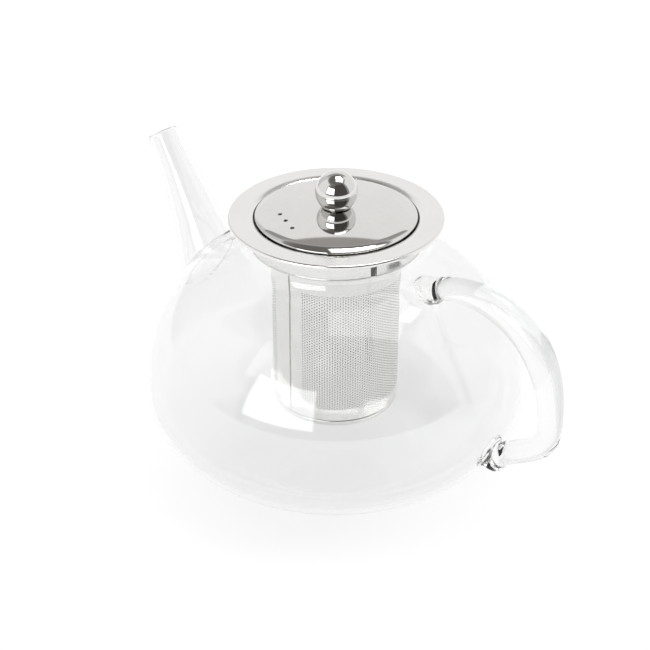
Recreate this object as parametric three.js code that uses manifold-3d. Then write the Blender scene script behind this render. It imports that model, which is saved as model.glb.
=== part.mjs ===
// Blown glass teapot with a lift-out stainless infuser and a ball-knob lid.
// Millimetres, +Z up. The origin is the centre of the base on the table.
// +X runs towards the handle and -X towards the spout.
import * as THREE from "three";
import { mergeVertices } from "three/addons/utils/BufferGeometryUtils.js";
import Module from "manifold-3d";

const wasm = await Module();
wasm.setup();

// ---- Driving dimensions ----

const GAP = 0.3; // clearance between pieces that rest on or are fused to each other
const SIDES = 48; // flat sides round a large turned piece
const SMALL_SIDES = 24; // flat sides round a small turned piece

const BODY = {
  radius: 83.8, // at the belt, outside
  belt: 38.6, // height of the widest level
  below: 44.5, // half-height of the full curve under the belt, cut flat at the table
  above: 69.7, // half-height of the full curve over the belt
  powerBelow: 2.0, // 2 is an ellipse, more is squarer
  powerAbove: 2.12,
  wall: 2.1,
  base: 2.6,
  lowSteps: 5, // facets from the table to the belt
  highSteps: 10, // and from the belt to the shoulder
  turnSteps: 3, // and from the shoulder to the neck
};

const NECK = {
  outer: 38.2,
  inner: 36.2,
  top: 115.9,
  shoulder: 43.0, // radius where the shoulder starts to turn up
  turn: 105.5, // height where the turn is finished
};

const SPOUT = {
  foot: [-66.5, 60.0], // x, z inside the body
  root: [-69.9, 68.5],
  bend: [-82.0, 98.7],
  tip: [-98.1, 127.4],
  rootRadius: 15.4,
  midRadius: 7.8,
  tipRadius: 6.7,
  wall: 1.8,
  sides: 28,
  steps: 14,
  boreSteps: 10, // steps of the cutter that opens the body under the spout
  boreMargin: 6.0, // how far that cutter runs past both ends
};

const HANDLE = {
  // x, z of two cubic curves: from the shoulder joint to the outermost point, and back to the body
  over: [
    [45.0, 95.9],
    [65.2, 110.1],
    [107.8, 106.2],
    [107.8, 55.5],
  ],
  under: [
    [107.8, 55.5],
    [107.8, 42.5],
    [101.0, 43.0],
    [81.0, 29.4],
  ],
  topRadius: 4.5,
  bendRadius: 6.4,
  lowRadius: 4.95,
  swell: [0.0, 0.38], // length shares over which the rod thickens
  slim: [0.42, 0.75], // and over which it thins again
  sides: 14,
  steps: 34,
};

const COLLAR = {
  rim: 45.0, // outer radius of the flange
  level: 117.0, // height of the flange's upper face
  sheet: 0.6,
  lip: 1.5, // depth of the turned-down edge
  edge: 0.8, // radius of the edge's bend
  recess: 34.6, // inner radius of the recess that takes the lid
  flat: 38.0, // radius where the flange starts to roll down towards the recess
  turn: 7.0, // radius of that roll, which ends in a sharp corner at the recess
  rollSteps: 4,
  corner: 1.2, // outer radius at the foot of the recess
  step: 104.5, // height of the underside of the step that carries the lid
  spigot: 26.4, // outer radius of the lip that enters the basket
  spigotDepth: 4.0,
};

const BASKET = {
  radius: 27.3,
  sheet: 0.6,
  bottom: 27.5, // underside of the base cup
  joint: 31.2, // height where the wall meets the base cup
  cupCorner: 3.2,
  cupSpigotHeight: 3.5,
};

const LID = {
  radius: 33.9,
  top: 120.6, // height of the crown's middle
  bend: 200.0, // radius of its shallow spherical cap
  brow: 29.5, // distance from the axis where the crown starts to fall away
  browBend: 10.0, // radius of the arc in which it falls away
  capSteps: 4,
  browSteps: 3,
  sheet: 0.7,
  fold: 0.5, // radius of the fold from the crown into the wall
  hole: 2.4, // radius of the hole for the screw
  ventRadius: 0.95,
  vents: [
    // x, y of the three vents, which stand in a row
    [-15.4, -17.9],
    [-9.9, -20.9],
    [-3.9, -24.1],
  ],
  ventCutter: 8.0, // length of the cutter
  ventSides: 14,
};

const KNOB = {
  radius: 8.85,
  height: 127.4, // centre of the ball
  shell: 0.6,
  seatRadius: 4.6, // outer radius of the spacer ring
  pocketRadius: 5.0, // radius of the pocket under the ball that holds the ring
  seatHeight: 0.5,
  bossRadius: 3.6,
  bossTop: 126.0,
  screwRadius: 2.0,
  screwTop: 125.0,
  headRadius: 3.8,
  headHeight: 2.2,
  headChamfer: 1.0,
  tipChamfer: 0.5,
  washerRadius: 6.0,
  washerSheet: 0.8,
};

const GLASS = { color: 0xeef3f1, roughness: 0.02, metalness: 0.0 };
const POLISHED = { color: 0xd9d7d2, roughness: 0.08, metalness: 1.0 };
const SATIN = { color: 0xcac8c3, roughness: 0.28, metalness: 1.0 };

// ---- Solids ----

function toSolid(geometry) {
  const bare = geometry.index ? geometry.toNonIndexed() : geometry.clone();
  for (const name of Object.keys(bare.attributes)) {
    if (name !== "position") bare.deleteAttribute(name);
  }
  const merged = mergeVertices(bare, 1e-4);
  const mesh = new wasm.Mesh({
    numProp: 3,
    vertProperties: merged.attributes.position.array,
    triVerts: new Uint32Array(merged.index.array),
  });
  return new wasm.Manifold(mesh);
}

function toGeometry(solid) {
  const mesh = solid.getMesh();
  const geometry = new THREE.BufferGeometry();
  geometry.setAttribute("position", new THREE.BufferAttribute(mesh.vertProperties, 3));
  geometry.setIndex(new THREE.BufferAttribute(mesh.triVerts, 1));
  geometry.computeVertexNormals();
  return geometry;
}

// Turns a list of [radius, height] points round +Z. The outside is walked upwards.
function turned(profile, sides = SIDES) {
  const points = profile.map(([r, z]) => new THREE.Vector2(r, z));
  return new THREE.LatheGeometry(points, sides).rotateX(Math.PI / 2);
}

// The same for a ring, whose profile closes on itself.
function turnedRing(profile, sides = SIDES) {
  return turned([...profile, profile[0]], sides);
}

// Points of an arc round (r, z), from one angle to another in degrees, ends included.
function arc(r, z, radius, from, to, steps) {
  return Array.from({ length: steps + 1 }, (_, i) => {
    const a = THREE.MathUtils.degToRad(from + ((to - from) * i) / steps);
    return [r + radius * Math.cos(a), z + radius * Math.sin(a)];
  });
}

// A closed round tube along a curve that lies in the XZ plane, with a radius that changes along it.
function taperedTube(curve, radiusAt, steps, sides) {
  const across = new THREE.Vector3(0, 1, 0);
  const positions = [];
  const index = [];
  for (let i = 0; i <= steps; i++) {
    const t = i / steps;
    const centre = curve.getPointAt(t);
    const up = curve.getTangentAt(t).cross(across);
    for (let j = 0; j < sides; j++) {
      const a = (2 * Math.PI * j) / sides;
      const spoke = up
        .clone()
        .multiplyScalar(Math.cos(a))
        .addScaledVector(across, Math.sin(a));
      positions.push(...centre.clone().addScaledVector(spoke, radiusAt(t)).toArray());
    }
  }
  for (let i = 0; i < steps; i++) {
    for (let j = 0; j < sides; j++) {
      const k = (j + 1) % sides;
      const [a, b] = [i * sides + j, i * sides + k];
      index.push(a, b + sides, b, a, a + sides, b + sides);
    }
  }
  const [start, end] = [positions.length / 3, positions.length / 3 + 1];
  positions.push(...curve.getPointAt(0).toArray(), ...curve.getPointAt(1).toArray());
  const last = steps * sides;
  for (let j = 0; j < sides; j++) {
    const k = (j + 1) % sides;
    index.push(start, j, k, end, last + k, last + j);
  }
  const geometry = new THREE.BufferGeometry();
  geometry.setAttribute("position", new THREE.Float32BufferAttribute(positions, 3));
  geometry.setIndex(index);
  return geometry;
}

// ---- Glass ----

// Radius of the blown body at a height, for the outside (inset 0) or a surface set in from it.
function bodyRadius(z, inset) {
  const low = z < BODY.belt;
  const reach = (low ? BODY.below : BODY.above) - inset;
  const power = low ? BODY.powerBelow : BODY.powerAbove;
  const share = Math.min(1, Math.abs(z - BODY.belt) / reach);
  return (BODY.radius - inset) * (1 - share ** power) ** (1 / power);
}

// Height of the shoulder at a radius, on the same surfaces.
function shoulderHeight(r, inset) {
  const share = r / (BODY.radius - inset);
  const rise = (1 - share ** BODY.powerAbove) ** (1 / BODY.powerAbove);
  return BODY.belt + (BODY.above - inset) * rise;
}

// One wall surface of the vessel, from the base up to the neck.
function wallProfile(inset, bottom, neckRadius) {
  const { lowSteps, highSteps, turnSteps } = BODY;
  const top = shoulderHeight(NECK.shoulder, inset);
  const low = Array.from({ length: lowSteps }, (_, i) => {
    const turn = (1 - i / lowSteps) * Math.asin((BODY.belt - bottom) / (BODY.below - inset));
    const z = BODY.belt - (BODY.below - inset) * Math.sin(turn);
    return [bodyRadius(z, inset), z];
  });
  const high = Array.from({ length: highSteps + 1 }, (_, i) => {
    const share = Math.sin(((i / highSteps) * Math.PI) / 2);
    const z = BODY.belt + (top - BODY.belt) * share;
    return [bodyRadius(z, inset), z];
  });
  const slope = (top - shoulderHeight(NECK.shoulder + 1, inset)) * (NECK.shoulder - neckRadius);
  const turn = new THREE.QuadraticBezierCurve(
    new THREE.Vector2(NECK.shoulder, top),
    new THREE.Vector2(neckRadius, top + slope),
    new THREE.Vector2(neckRadius, NECK.turn),
  );
  const neck = turn.getPoints(turnSteps).slice(1);
  return [...low, ...high, ...neck.map((p) => [p.x, p.y])];
}

// A rounded rim between the outer and inner wall of the neck.
function neckRim() {
  const half = (NECK.outer - NECK.inner) / 2;
  return arc(NECK.inner + half, NECK.top - half, half, 0, 180, 3);
}

function spoutCurve() {
  const at = ([x, z]) => new THREE.Vector3(x, 0, z);
  const path = new THREE.CurvePath();
  path.add(new THREE.LineCurve3(at(SPOUT.foot), at(SPOUT.root)));
  path.add(new THREE.QuadraticBezierCurve3(at(SPOUT.root), at(SPOUT.bend), at(SPOUT.tip)));
  return path;
}

// Outer radius of the spout by its length share: full at the foot, slim from the bend to the tip.
function spoutRadius(share) {
  const [footLength, length] = spoutCurve().getCurveLengths();
  const foot = footLength / length;
  const t = Math.max(0, (share - foot) / (1 - foot));
  const s = 1 - t;
  return SPOUT.rootRadius * s * s + 2 * SPOUT.midRadius * t * s + SPOUT.tipRadius * t * t;
}

// A tube as long as the spout's path, with its ends pushed out by a margin.
function spoutTube(inset, margin, steps) {
  const path = spoutCurve();
  const from = path.getPointAt(0).addScaledVector(path.getTangentAt(0), -margin);
  const to = path.getPointAt(1).addScaledVector(path.getTangentAt(1), margin);
  const points = path.getSpacedPoints(40).slice(1, -1);
  const curve = new THREE.CatmullRomCurve3([from, ...points, to]);
  return toSolid(taperedTube(curve, (t) => spoutRadius(t) - inset, steps, SPOUT.sides));
}

// What is left of a fused piece once the part inside the body is cut off.
function largestPiece(solid) {
  return solid.decompose().sort((a, b) => b.volume() - a.volume())[0];
}

// The vessel's outside as a filled solid, grown by the clearance, for cutting what is fused on to it.
function bodyEnvelope() {
  const wall = wallProfile(-GAP, 0, NECK.outer + GAP);
  return toSolid(turned([[0, 0], ...wall, [NECK.outer + GAP, NECK.top], [0, NECK.top]]));
}

function glassBody() {
  const outside = wallProfile(0, 0, NECK.outer);
  const inside = wallProfile(BODY.wall, BODY.base, NECK.inner).reverse();
  const shell = toSolid(turned([[0, 0], ...outside, ...neckRim(), ...inside, [0, BODY.base]]));
  return toGeometry(shell.subtract(spoutTube(SPOUT.wall, SPOUT.boreMargin, SPOUT.boreSteps)));
}

function spout() {
  const { wall, steps } = SPOUT;
  const tube = spoutTube(0, 0, steps).subtract(spoutTube(wall, 1, steps));
  return toGeometry(largestPiece(tube.subtract(bodyEnvelope())));
}

function handleRadius(t) {
  const { topRadius, bendRadius, lowRadius } = HANDLE;
  const swell = THREE.MathUtils.smoothstep(t, ...HANDLE.swell);
  const slim = THREE.MathUtils.smoothstep(t, ...HANDLE.slim);
  return topRadius + (bendRadius - topRadius) * swell - (bendRadius - lowRadius) * slim;
}

function handle() {
  const curve = new THREE.CurvePath();
  for (const points of [HANDLE.over, HANDLE.under]) {
    curve.add(new THREE.CubicBezierCurve3(...points.map(([x, z]) => new THREE.Vector3(x, 0, z))));
  }
  const rod = toSolid(taperedTube(curve, handleRadius, HANDLE.steps, HANDLE.sides));
  return toGeometry(largestPiece(rod.subtract(bodyEnvelope())));
}

// ---- Infuser ----

// Where a roll of this radius meets the recess wall at radius wall, in degrees from +X.
function rollEnd(radius, wall) {
  return 90 + THREE.MathUtils.radToDeg(Math.asin((COLLAR.flat - wall) / radius));
}

// Pressed collar: flange, roll into the recess, recess wall, step, and a lip that enters the basket.
function infuserCollar() {
  const { rim, level, sheet, lip, edge, recess, corner, step, spigot, spigotDepth } = COLLAR;
  const { flat, turn, rollSteps } = COLLAR;
  const outer = recess + sheet;
  const under = [
    [spigot - sheet, step - spigotDepth],
    [spigot, step - spigotDepth],
    [spigot, step - GAP],
    [spigot + GAP, step],
    ...arc(outer - corner, step + corner, corner, -90, 0, 2),
    ...arc(flat, level - turn, turn - sheet, rollEnd(turn - sheet, outer), 90, rollSteps),
    [rim - sheet - edge / 2, level - sheet],
    [rim - sheet, level - sheet - edge / 2],
    [rim - sheet, level - lip],
  ];
  const over = [
    [rim, level - lip],
    ...arc(rim - edge, level - edge, edge, 0, 90, 2),
    ...arc(flat, level - turn, turn, 90, rollEnd(turn, recess), rollSteps),
    ...arc(recess - corner + sheet, step + corner, corner - sheet, 0, -90, 2),
    [spigot, step + sheet],
    [spigot - sheet, step],
  ];
  return turnedRing([...under, ...over]);
}

// Rolled perforated sheet: its fine holes are far smaller than this solid's facets.
function infuserBasket() {
  const { radius, sheet, joint } = BASKET;
  const top = COLLAR.step - GAP;
  const inner = radius - sheet;
  const wall = [
    [inner, joint + GAP],
    [radius, joint + GAP],
    [radius, (joint + top) / 2],
    [radius, top],
    [inner, top],
    [inner, (joint + top) / 2],
  ];
  return turnedRing(wall);
}

// Shallow cup that closes the basket, with a lip inside the wall.
function infuserBase() {
  const { radius, sheet, bottom, joint, cupCorner, cupSpigotHeight } = BASKET;
  const lipRadius = radius - sheet - GAP;
  return turned([
    [0, bottom],
    ...arc(radius - cupCorner, bottom + cupCorner, cupCorner, -90, 0, 4),
    [radius, joint],
    [lipRadius, joint],
    [lipRadius, joint + cupSpigotHeight],
    [lipRadius - sheet, joint + cupSpigotHeight],
    ...arc(radius - cupCorner, bottom + cupCorner, cupCorner - sheet - GAP, 0, -90, 3),
    [0, bottom + sheet + GAP],
  ]);
}

// ---- Lid ----

// Height of the crown's upper face at a radius: a shallow cap, then a tighter arc with its slope.
function crownHeight(r) {
  const { top, bend, brow, browBend } = LID;
  const low = top - bend;
  if (r <= brow) return low + Math.sqrt(bend * bend - r * r);
  const share = browBend / bend;
  const centre = low + (1 - share) * Math.sqrt(bend * bend - brow * brow);
  return centre + Math.sqrt(browBend * browBend - (r - brow * (1 - share)) ** 2);
}

// The drill for one vent.
function ventDrill([x, y]) {
  const { ventRadius, ventCutter, ventSides, top } = LID;
  const drill = new THREE.CylinderGeometry(ventRadius, ventRadius, ventCutter, ventSides);
  return toSolid(drill.rotateX(Math.PI / 2).translate(x, y, top));
}

// Distances from the axis at which the crown's profile is sampled, from the screw's hole to an end.
function crownRadii(end) {
  const { hole, brow, capSteps, browSteps } = LID;
  const between = (from, to, steps, i) => from + ((to - from) * i) / steps;
  return [
    ...Array.from({ length: capSteps }, (_, i) => between(hole, brow, capSteps, i)),
    ...Array.from({ length: browSteps + 1 }, (_, i) => between(brow, end, browSteps, i)),
  ];
}

function lidCap() {
  const { radius, sheet, fold, vents } = LID;
  const foot = COLLAR.step + COLLAR.sheet + GAP;
  const flat = radius - fold;
  const inner = radius - sheet;
  const over = crownRadii(flat).map((r) => [r, crownHeight(r)]);
  const under = crownRadii(inner - fold / 2).map((r) => [r, crownHeight(r) - sheet]);
  const cap = turnedRing([
    [inner, foot],
    [radius, foot],
    ...arc(flat, crownHeight(flat) - fold, fold, 0, 50, 2),
    ...over.reverse(),
    ...under,
    [inner, crownHeight(inner) - sheet - fold / 2],
  ]);
  return toGeometry(vents.reduce((s, place) => s.subtract(ventDrill(place)), toSolid(cap)));
}

// The ball is cut just over the crown. A pocket in its foot holds the spacer ring.
const ballFoot = crownHeight(0) + GAP;
const pocketTop = ballFoot + KNOB.seatHeight + GAP;

// Short spacer ring between the crown and the ball.
function knobCollar() {
  const { seatRadius, seatHeight } = KNOB;
  return turnedRing(
    [
      [LID.hole, ballFoot],
      [seatRadius, ballFoot],
      [seatRadius, ballFoot + seatHeight],
      [LID.hole, ballFoot + seatHeight],
    ],
    SMALL_SIDES,
  );
}

// Angle below the ball's equator at which a sphere round its centre reaches a height, in degrees.
function angleBelow(sphere, z) {
  return THREE.MathUtils.radToDeg(Math.asin((KNOB.height - z) / sphere));
}

function knobLowerShell() {
  const { radius, height, shell, screwRadius, pocketRadius } = KNOB;
  const split = THREE.MathUtils.radToDeg(GAP / 2 / radius);
  const hole = screwRadius + GAP;
  const inner = radius - shell;
  return turnedRing(
    [
      [hole, pocketTop],
      [pocketRadius, pocketTop],
      [pocketRadius, ballFoot],
      ...arc(0, height, radius, -angleBelow(radius, ballFoot), -split, 6),
      ...arc(0, height, inner, -split, -angleBelow(inner, pocketTop + shell), 6),
      [hole, pocketTop + shell],
    ],
    SMALL_SIDES,
  );
}

function knobUpperShell() {
  const { radius, height, shell } = KNOB;
  const split = THREE.MathUtils.radToDeg(GAP / 2 / radius);
  const inside = arc(0, height, radius - shell, 90, split, 8).slice(1);
  const outside = arc(0, height, radius, split, 90, 8).slice(0, -1);
  return turned(
    [[0, height + radius - shell], ...inside, ...outside, [0, height + radius]],
    SMALL_SIDES,
  );
}

// Threaded bush welded inside the ball; the thread is plain here.
function knobBoss() {
  const { bossRadius, bossTop, screwRadius, shell } = KNOB;
  const foot = pocketTop + shell + GAP;
  const inner = screwRadius + GAP;
  return turnedRing(
    [
      [inner, foot],
      [bossRadius, foot],
      [bossRadius, bossTop],
      [inner, bossTop],
    ],
    SMALL_SIDES,
  );
}

// Underside of the crown over the washer's edge, less the clearance.
const crownUnder = crownHeight(KNOB.washerRadius) - LID.sheet - GAP;

function lidWasher() {
  const { washerRadius, washerSheet, screwRadius } = KNOB;
  const top = crownUnder;
  return turnedRing(
    [
      [screwRadius + GAP, top - washerSheet],
      [washerRadius, top - washerSheet],
      [washerRadius, top],
      [screwRadius + GAP, top],
    ],
    SMALL_SIDES,
  );
}

// Pan-head screw up through the washer and the crown into the bush.
function knobScrew() {
  const { screwRadius, screwTop, headRadius, headHeight, headChamfer, tipChamfer } = KNOB;
  const seat = crownUnder - KNOB.washerSheet - GAP;
  return turned(
    [
      [0, seat - headHeight],
      [headRadius - headChamfer, seat - headHeight],
      [headRadius, seat - headHeight + headChamfer],
      [headRadius, seat],
      [screwRadius, seat],
      [screwRadius, screwTop - tipChamfer],
      [screwRadius - tipChamfer, screwTop],
      [0, screwTop],
    ],
    SMALL_SIDES,
  );
}

// ---- Assembly ----

function piece(name, geometry, finish) {
  const mesh = new THREE.Mesh(geometry, new THREE.MeshStandardMaterial(finish));
  mesh.name = name;
  return mesh;
}

function groupOf(...pieces) {
  const group = new THREE.Group();
  group.add(...pieces);
  return group;
}

const pot = groupOf(
  piece("glass_body", glassBody(), GLASS),
  piece("glass_spout", spout(), GLASS),
  piece("glass_handle", handle(), GLASS),
);

const infuser = groupOf(
  piece("infuser_collar", infuserCollar(), SATIN),
  piece("infuser_basket", infuserBasket(), SATIN),
  piece("infuser_base", infuserBase(), SATIN),
);

const lid = groupOf(
  piece("lid_cap", lidCap(), POLISHED),
  piece("knob_collar", knobCollar(), POLISHED),
  piece("knob_lower_shell", knobLowerShell(), POLISHED),
  piece("knob_upper_shell", knobUpperShell(), POLISHED),
  piece("knob_boss", knobBoss(), SATIN),
  piece("knob_screw", knobScrew(), SATIN),
  piece("lid_washer", lidWasher(), SATIN),
);

const teapot = groupOf(pot, infuser, lid);

export default teapot;
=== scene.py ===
"""Glass teapot with a lift-out stainless infuser and a ball-knob lid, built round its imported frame.

Metres, +Z up. The origin is the centre of the base. +X runs to the handle, -X to the spout.
"""

import math

import bmesh
import bpy
import numpy as np
from bpy.props import FloatProperty, FloatVectorProperty, IntProperty, PointerProperty
from bpy.types import Operator, Panel, PropertyGroup
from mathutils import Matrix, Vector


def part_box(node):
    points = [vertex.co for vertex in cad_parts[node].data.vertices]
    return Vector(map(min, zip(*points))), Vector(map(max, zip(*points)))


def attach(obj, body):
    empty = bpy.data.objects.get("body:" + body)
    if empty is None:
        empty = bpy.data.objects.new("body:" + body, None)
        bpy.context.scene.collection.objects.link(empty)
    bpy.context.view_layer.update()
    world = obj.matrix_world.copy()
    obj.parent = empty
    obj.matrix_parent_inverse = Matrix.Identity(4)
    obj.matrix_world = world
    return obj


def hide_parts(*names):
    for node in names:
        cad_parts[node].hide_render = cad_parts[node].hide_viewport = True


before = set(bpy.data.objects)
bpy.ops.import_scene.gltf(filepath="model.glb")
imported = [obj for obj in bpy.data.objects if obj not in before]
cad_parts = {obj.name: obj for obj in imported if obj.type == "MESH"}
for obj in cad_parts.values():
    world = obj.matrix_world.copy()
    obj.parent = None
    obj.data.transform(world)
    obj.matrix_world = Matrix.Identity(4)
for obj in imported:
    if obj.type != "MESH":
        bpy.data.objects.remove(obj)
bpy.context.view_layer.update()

bl_info = {
    "name": "Glass teapot with infuser",
    "version": (1, 0, 0),
    "blender": (4, 5, 0),
    "location": "View3D > Sidebar > Teapot",
    "description": "Builds a blown glass teapot, its stainless infuser and its lid",
    "category": "Add Mesh",
}

MM = 0.001
FULL_TURN = 2 * math.pi

BODY_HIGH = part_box("glass_body")[1]
COLLAR_LOW, COLLAR_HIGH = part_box("infuser_collar")
BASKET_LOW, BASKET_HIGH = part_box("infuser_basket")
CUP_LOW, CUP_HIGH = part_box("infuser_base")
CROWN_LOW, CROWN_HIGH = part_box("lid_cap")
SEAT_LOW, SEAT_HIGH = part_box("knob_collar")
BALL_LOW, BALL_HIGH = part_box("knob_lower_shell")[0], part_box("knob_upper_shell")[1]
SCREW_LOW, SCREW_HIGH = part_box("knob_screw")

GAP = 0.3 * MM  # clearance between pieces that rest on each other, as in the CAD
CROWN_TOP = 120.6 * MM


def length(name, description, millimetres):
    """A property that holds a length in metres, given here in millimetres."""
    default = millimetres * MM
    return FloatProperty(
        name=name, description=description, default=default, unit="LENGTH", precision=5
    )


def angle(name, description, degrees):
    """A property that holds an angle, given here in degrees."""
    return FloatProperty(
        name=name, description=description, default=math.radians(degrees), subtype="ANGLE"
    )


def colour(name, description, default):
    """A property that holds a linear RGB colour."""
    return FloatVectorProperty(
        name=name, description=description, default=default, subtype="COLOR", min=0.0, max=1.0
    )


def number(name, description, default):
    """A property that holds a plain number."""
    return FloatProperty(name=name, description=description, default=default)


# ---- Settings ----


class TeapotGlassSettings(PropertyGroup):
    """Sizes and colour of the blown glass."""

    belt: length("Belt height", "Height of the widest level", 38.6)
    below: length("Lower curve", "Half-height of the full curve under the belt", 44.5)
    above: length("Upper curve", "Half-height of the full curve over the belt", 69.7)
    squareness: number("Squareness", "Power of the upper curve, where 2 is an ellipse", 2.12)
    wall: length("Wall", "Thickness of the blown wall", 2.1)
    base: length("Base", "Thickness of the base at its centre", 2.6)
    dish: length("Base dish", "How far the centre of the base stands off the table", 0.6)
    neck_outer: length("Neck outside", "Outer radius of the neck", 38.2)
    neck_inner: length("Neck inside", "Inner radius of the neck", 36.2)
    shoulder: length("Shoulder", "Radius where the shoulder turns up into the neck", 43.0)
    turn: length("Neck foot", "Height where that turn is finished", 105.5)
    spout_root: length("Spout root", "Outer radius of the spout at the body", 15.4)
    spout_middle: length("Spout middle", "Middle value of the spout's taper", 7.8)
    spout_tip: length("Spout tip", "Outer radius of the spout at its tip", 6.7)
    spout_wall: length("Spout wall", "Thickness of the spout's wall", 1.8)
    handle_top: length("Handle top", "Radius of the rod at the shoulder", 4.5)
    handle_bend: length("Handle bend", "Radius of the rod at the back of the handle", 6.4)
    handle_low: length("Handle low end", "Radius of the rod at the lower joint", 4.95)
    flare: length("Flare", "How far the rod widens at its joints", 2.2)
    melt: length("Melt", "How far from a fused joint the glass is rounded off", 3.0)
    tint: colour("Tint", "What one pass through the glass leaves of white", (0.938, 0.943, 0.94))
    ior: number("Index of refraction", "1.47 is borosilicate glass", 1.47)


class TeapotInfuserSettings(PropertyGroup):
    """Sizes and finish of the infuser."""

    sheet: length("Sheet", "Thickness of the stainless sheet", 0.6)
    step: length("Step", "Height of the underside of the lid's step", 104.5)
    recess: length("Recess", "Inner radius of the recess that takes the lid", 34.6)
    flat: length("Flat", "Radius where the flange starts to roll down", 38.0)
    roll: length("Roll", "Radius of that roll", 7.0)
    pitch: length("Hole pitch", "Distance between neighbouring holes", 1.26)
    hole: length("Hole radius", "Corner radius of one six-sided hole", 0.29)
    holes_low: length("Lowest holes", "Height where the perforation starts", 36.6)
    rows: IntProperty(name="Rows", description="Holes in one column", default=44)
    columns: IntProperty(name="Columns", description="Columns, an even number", default=142)
    strip: angle("Plain strip", "Width of the strip without holes", 33.0)
    strip_end: angle("Strip end", "Where the strip ends and the holes start, from +X", 275.0)
    seam_share: number("Seam", "Where in the strip the sheet's outer edge ends", 0.61)
    lap: length("Lap", "How far the lower layer sinks under the sheet's edge", 0.55)
    gap: length("Seam gap", "Depth of the narrow gap beside the sheet's edge", 0.9)
    steel: colour("Steel", "Colour of the satin steel", (0.86, 0.85, 0.84))


class TeapotLidSettings(PropertyGroup):
    """Sizes and finish of the lid and its knob."""

    sheet: length("Sheet", "Thickness of the crown", 0.7)
    bend: length("Bend", "Radius of the crown's spherical middle", 200.0)
    brow: length("Brow", "Radius where the crown starts to fall away", 30.4)
    brow_bend: length("Brow bend", "Radius of the arc in which it falls away", 8.5)
    fold: length("Fold", "Radius of the fold into the wall", 0.5)
    vent: length("Vent", "Radius of one vent hole", 0.95)
    seam: length("Ball seam", "Half-width of the seam between the ball's halves", 0.03)
    shell: length("Ball shell", "Thickness of the ball's sheet", 0.6)
    steel: colour("Steel", "Colour of the polished steel", (0.75, 0.745, 0.73))


class TeapotStudioSettings(PropertyGroup):
    """Camera, floor and light."""

    place: FloatVectorProperty(
        name="Camera", description="Place of the camera", default=(0.3381, -0.4403, 0.40185)
    )
    turn: angle("Camera turn", "Angle between the camera's heading and +Y", 38.0)
    dip: angle("Camera dip", "How far the camera looks down", 31.4)
    lens: number("Lens", "Focal length in millimetres on a 36 mm sensor", 83.08)
    floor: length("Floor", "Width of the floor", 8000.0)
    floor_colour: colour("Floor colour", "Colour of the pale floor", (0.2, 0.2, 0.2))
    floor_glow: number("Floor glow", "Light that the floor gives off itself", 0.86)
    walls: number("Walls", "Brightness of the white backdrop and side walls", 0.97)
    overhead: number("Overhead box", "Brightness of the soft box over the table", 1.6)
    core: number("Box core", "Brightness of the bright patch in that box", 13.0)
    window: number("Window", "Brightness of the window behind the camera, on the left", 4.0)


# ---- Outlines ----


def outline(*points):
    """Points of an outline given in millimetres, as metres."""
    return np.array(points, float) * MM


def unit(vectors):
    """The vectors, each divided by its length, which is kept off zero."""
    return vectors / np.maximum(np.linalg.norm(vectors, axis=-1, keepdims=True), 1e-12)


def rounded(corners, radii, steps=6):
    """A closed outline whose corners are replaced by arcs.

    Between the unit directions u and v of a corner's two sides, the arc touches each side at
    radius / tan(half the angle). Its centre is on the bisector, at radius / sin(half the angle),
    and its points are the spherical interpolation from one touching point to the other.
    """
    corners, radii = np.asarray(corners, float), np.asarray(radii, float)[:, None]
    u, v = unit(np.roll(corners, 1, 0) - corners), unit(np.roll(corners, -1, 0) - corners)
    half = np.arccos(np.clip((u * v).sum(1), -1, 1))[:, None] / 2
    centre = corners + unit(u + v) * radii / np.sin(half)
    first, last = corners + u * radii / np.tan(half), corners + v * radii / np.tan(half)
    span = math.pi - 2 * half
    share = np.linspace(0, 1, steps + 1)[None, :, None]
    sine = np.maximum(np.sin(span), 1e-9)[:, None]
    from_first = np.sin((1 - share) * span[:, None]) / sine * (first - centre)[:, None]
    from_last = np.sin(share * span[:, None]) / sine * (last - centre)[:, None]
    points = (centre[:, None] + from_first + from_last).reshape(-1, 2)
    apart = np.linalg.norm(points - np.roll(points, 1, 0), axis=1) > 1e-8
    return points[apart]


def divided(points, spacing, closed=True):
    """The same outline with each straight stretch cut into equal parts no longer than spacing."""
    ends = np.roll(points, -1, 0)
    counts = np.ceil(np.linalg.norm(ends - points, axis=1) / spacing).astype(int)
    counts = np.maximum(counts, 1)
    if not closed:
        counts[-1] = 1
    starts = np.cumsum(counts) - counts
    share = (np.arange(counts.sum()) - np.repeat(starts, counts)) / np.repeat(counts, counts)
    return np.repeat(points, counts, 0) + np.repeat(ends - points, counts, 0) * share[:, None]


def even(points, spacing):
    """The outline sampled again at equal distances along it."""
    along = np.concatenate([[0], np.cumsum(np.linalg.norm(np.diff(points, axis=0), axis=1))])
    places = np.linspace(0, along[-1], int(round(along[-1] / spacing)) + 1)
    return np.stack([np.interp(places, along, points[:, k]) for k in range(points.shape[1])], -1)


def softened(points, reach):
    """A moving average over reach points each way, with a raised cosine as weight.

    Both ends are carried on by point reflection, so they stay where they are.
    """
    weight = 1 + np.cos(np.linspace(-math.pi, math.pi, 2 * reach + 3)[1:-1])
    weight /= weight.sum()
    before = 2 * points[0] - points[reach:0:-1]
    after = 2 * points[-1] - points[-2 : -reach - 2 : -1]
    full = np.concatenate([before, points, after])
    return np.stack([np.convolve(full[:, k], weight, "valid") for k in range(points.shape[1])], -1)


def arc(r, z, radius, start, end, steps):
    """Points (r + radius cos a, z + radius sin a) for a from start to end, in radians."""
    a = np.linspace(start, end, steps + 1)
    return np.stack([r + radius * np.cos(a), z + radius * np.sin(a)], -1)


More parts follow.
